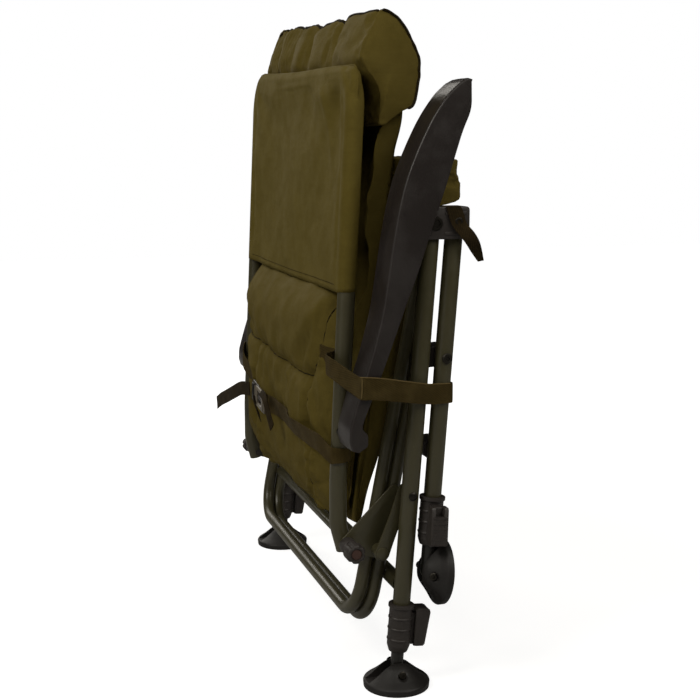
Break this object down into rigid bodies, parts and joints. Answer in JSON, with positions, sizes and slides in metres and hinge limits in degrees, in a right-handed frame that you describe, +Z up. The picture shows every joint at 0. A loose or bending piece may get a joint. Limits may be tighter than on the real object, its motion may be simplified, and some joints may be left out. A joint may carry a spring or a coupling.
{
  "type": "folding bank chair",
  "caption": "Padded armchair for the bank that folds flat, with a scissor fold, telescopic legs on swivelling mud feet and hollow curved armrests; shown folded, standing on its rear feet.",
  "frame": {"origin": "on the floor under the middle of the folded chair, which stands on its rear mud feet", "axes": "+Z up; X is the thickness of the folded chair, with the back frame towards -X and the front legs towards +X; Y is the width, with the right hand of a person in the unfolded chair towards -Y"},
  "size_m": [0.201, 0.684, 0.842],
  "materials": {
    "olive_fabric": "woven, matt",
    "olive_paint": "satin",
    "black_paint": "satin",
    "charcoal_plastic": "fine textured",
    "black_plastic": "fine textured",
    "brown_webbing": "flat woven webbing",
    "steel": "plated"
  },
  "bodies": {
    "front_legs": {"leg_tube_front_right": "olive_paint", "leg_tube_front_left": "olive_paint", "lock_collar_front_right": "charcoal_plastic", "lock_collar_front_left": "charcoal_plastic", "leg_cross_tube_front": "olive_paint", "cross_bush_right": "charcoal_plastic", "cross_bush_left": "charcoal_plastic", "leg_bracket_right": "charcoal_plastic", "leg_bracket_left": "charcoal_plastic", "bracket_tab_right": "brown_webbing", "bracket_tab_left": "brown_webbing", "top_pivot_bolt_right": "steel", "top_pivot_bolt_left": "steel", "seat_pivot_bolt_right": "steel", "seat_pivot_bolt_left": "steel"},
    "rear_legs": {"leg_tube_rear_right": "olive_paint", "leg_tube_rear_left": "olive_paint", "lock_collar_rear_right": "charcoal_plastic", "lock_collar_rear_left": "charcoal_plastic", "leg_cross_tube_rear": "olive_paint", "leg_rivet_right": "steel", "leg_rivet_left": "steel"},
    "seat": {"seat_frame_tube": "olive_paint", "seat_support_tube": "olive_paint", "seat_front_tube": "olive_paint", "seat_cross_tube": "olive_paint", "seat_gusset_right": "olive_paint", "seat_gusset_left": "olive_paint", "seat_pivot_block_right": "charcoal_plastic", "seat_pivot_block_left": "charcoal_plastic", "seat_mattress": "olive_fabric"},
    "back": {"back_frame_tube": "olive_paint", "back_sleeve": "olive_fabric", "back_mattress": "olive_fabric", "headrest_pillow": "olive_fabric", "waist_strap": "brown_webbing", "strap_buckle": "charcoal_plastic", "carry_strap": "brown_webbing"},
    "link_right": {"link_plate_right": "olive_paint"},
    "armrest_right": {"armrest_right": "charcoal_plastic"},
    "knob_right": {"recline_knob_right": "charcoal_plastic"},
    "link_left": {"link_plate_left": "olive_paint"},
    "armrest_left": {"armrest_left": "charcoal_plastic"},
    "knob_left": {"recline_knob_left": "charcoal_plastic"},
    "inner_leg_rear_right": {"inner_leg_rear_right": "black_paint", "foot_pin_rear_right": "steel"},
    "mud_foot_rear_right": {"mud_foot_rear_right": "black_plastic"},
    "lock_lever_rear_right": {"lock_lever_rear_right": "charcoal_plastic"},
    "inner_leg_rear_left": {"inner_leg_rear_left": "black_paint", "foot_pin_rear_left": "steel"},
    "mud_foot_rear_left": {"mud_foot_rear_left": "black_plastic"},
    "lock_lever_rear_left": {"lock_lever_rear_left": "charcoal_plastic"},
    "inner_leg_front_right": {"inner_leg_front_right": "black_paint", "foot_pin_front_right": "steel"},
    "mud_foot_front_right": {"mud_foot_front_right": "black_plastic"},
    "lock_lever_front_right": {"lock_lever_front_right": "charcoal_plastic"},
    "inner_leg_front_left": {"inner_leg_front_left": "black_paint", "foot_pin_front_left": "steel"},
    "mud_foot_front_left": {"mud_foot_front_left": "black_plastic"},
    "lock_lever_front_left": {"lock_lever_front_left": "charcoal_plastic"}
  },
  "joints": [
    {"name": "seat_fold", "type": "hinge", "parent": "front_legs", "child": "seat", "pos_m": [0.04749, 0, 0.416], "axis": [0, 1, 0], "range_deg": [0, 82]},
    {"name": "rear_leg_fold", "type": "hinge", "parent": "front_legs", "child": "rear_legs", "pos_m": [0.02939, 0, 0.58], "axis": [0, 1, 0], "range_deg": [0, 48.1]},
    {"name": "back_fold", "type": "hinge", "parent": "seat", "child": "back", "pos_m": [-0.06591, 0, 0.177], "axis": [0, 1, 0], "range_deg": [-94.8, 0], "deforming": ["carry_strap"]},
    {"name": "link_swing_right", "type": "hinge", "parent": "seat", "child": "link_right", "pos_m": [-0.02591, -0.2845, 0.168], "axis": [0, 1, 0], "range_deg": [0, 95.1]},
    {"name": "armrest_fold_right", "type": "hinge", "parent": "front_legs", "child": "armrest_right", "pos_m": [0.02939, -0.283, 0.58], "axis": [0, 1, 0], "range_deg": [0, 80.4]},
    {"name": "knob_turn_right", "type": "hinge", "parent": "seat", "child": "knob_right", "pos_m": [-0.06591, -0.29, 0.177], "axis": [0, 1, 0], "continuous": true},
    {"name": "link_swing_left", "type": "hinge", "parent": "seat", "child": "link_left", "pos_m": [-0.02591, 0.2845, 0.168], "axis": [0, 1, 0], "range_deg": [0, 95.1]},
    {"name": "armrest_fold_left", "type": "hinge", "parent": "front_legs", "child": "armrest_left", "pos_m": [0.02939, 0.283, 0.58], "axis": [0, 1, 0], "range_deg": [0, 80.4]},
    {"name": "knob_turn_left", "type": "hinge", "parent": "seat", "child": "knob_left", "pos_m": [-0.06591, 0.29, 0.177], "axis": [0, 1, 0], "continuous": true},
    {"name": "leg_slide_rear_right", "type": "slide", "parent": "rear_legs", "child": "inner_leg_rear_right", "axis": [-0.0729, 0, -0.9973], "range_m": [0, 0.1]},
    {"name": "foot_swivel_rear_right", "type": "hinge", "parent": "inner_leg_rear_right", "child": "mud_foot_rear_right", "pos_m": [-0.01134, -0.3, 0.0215], "axis": [0, 1, 0], "range_deg": [-60, 60]},
    {"name": "lever_release_rear_right", "type": "hinge", "parent": "rear_legs", "child": "lock_lever_rear_right", "pos_m": [0.01283, -0.3, 0.05728], "axis": [0, 1, 0], "range_deg": [0, 100]},
    {"name": "leg_slide_rear_left", "type": "slide", "parent": "rear_legs", "child": "inner_leg_rear_left", "axis": [-0.0729, 0, -0.9973], "range_m": [0, 0.1]},
    {"name": "foot_swivel_rear_left", "type": "hinge", "parent": "inner_leg_rear_left", "child": "mud_foot_rear_left", "pos_m": [-0.01134, 0.3, 0.0215], "axis": [0, 1, 0], "range_deg": [-60, 60]},
    {"name": "lever_release_rear_left", "type": "hinge", "parent": "rear_legs", "child": "lock_lever_rear_left", "pos_m": [0.01283, 0.3, 0.05728], "axis": [0, 1, 0], "range_deg": [0, 100]},
    {"name": "leg_slide_front_right", "type": "slide", "parent": "front_legs", "child": "inner_leg_front_right", "axis": [-0.0729, 0, -0.9973], "range_m": [0, 0.02]},
    {"name": "foot_swivel_front_right", "type": "hinge", "parent": "inner_leg_front_right", "child": "mud_foot_front_right", "pos_m": [0.0277, -0.3, 0.14521], "axis": [0, 1, 0], "range_deg": [0, 30]},
    {"name": "lever_release_front_right", "type": "hinge", "parent": "front_legs", "child": "lock_lever_front_right", "pos_m": [0.03378, -0.3215, 0.22839], "axis": [-0.9973, 0, 0.0729], "range_deg": [0, 100]},
    {"name": "leg_slide_front_left", "type": "slide", "parent": "front_legs", "child": "inner_leg_front_left", "axis": [-0.0729, 0, -0.9973], "range_m": [0, 0.02]},
    {"name": "foot_swivel_front_left", "type": "hinge", "parent": "inner_leg_front_left", "child": "mud_foot_front_left", "pos_m": [0.0277, 0.3, 0.14521], "axis": [0, 1, 0], "range_deg": [0, 30]},
    {"name": "lever_release_front_left", "type": "hinge", "parent": "front_legs", "child": "lock_lever_front_left", "pos_m": [0.03378, 0.3215, 0.22839], "axis": [0.9973, 0, -0.0729], "range_deg": [0, 100]}
  ],
  "couplings": [
    {"joint": "rear_leg_fold", "follows": "seat_fold", "ratio": 0.5855},
    {"joint": "back_fold", "follows": "seat_fold", "ratio": -1.1554},
    {"joint": "link_swing_right", "follows": "seat_fold", "ratio": 1.1581},
    {"joint": "armrest_fold_right", "follows": "seat_fold", "ratio": 0.9792},
    {"joint": "link_swing_left", "follows": "seat_fold", "ratio": 1.1581},
    {"joint": "armrest_fold_left", "follows": "seat_fold", "ratio": 0.9792}
  ]
}
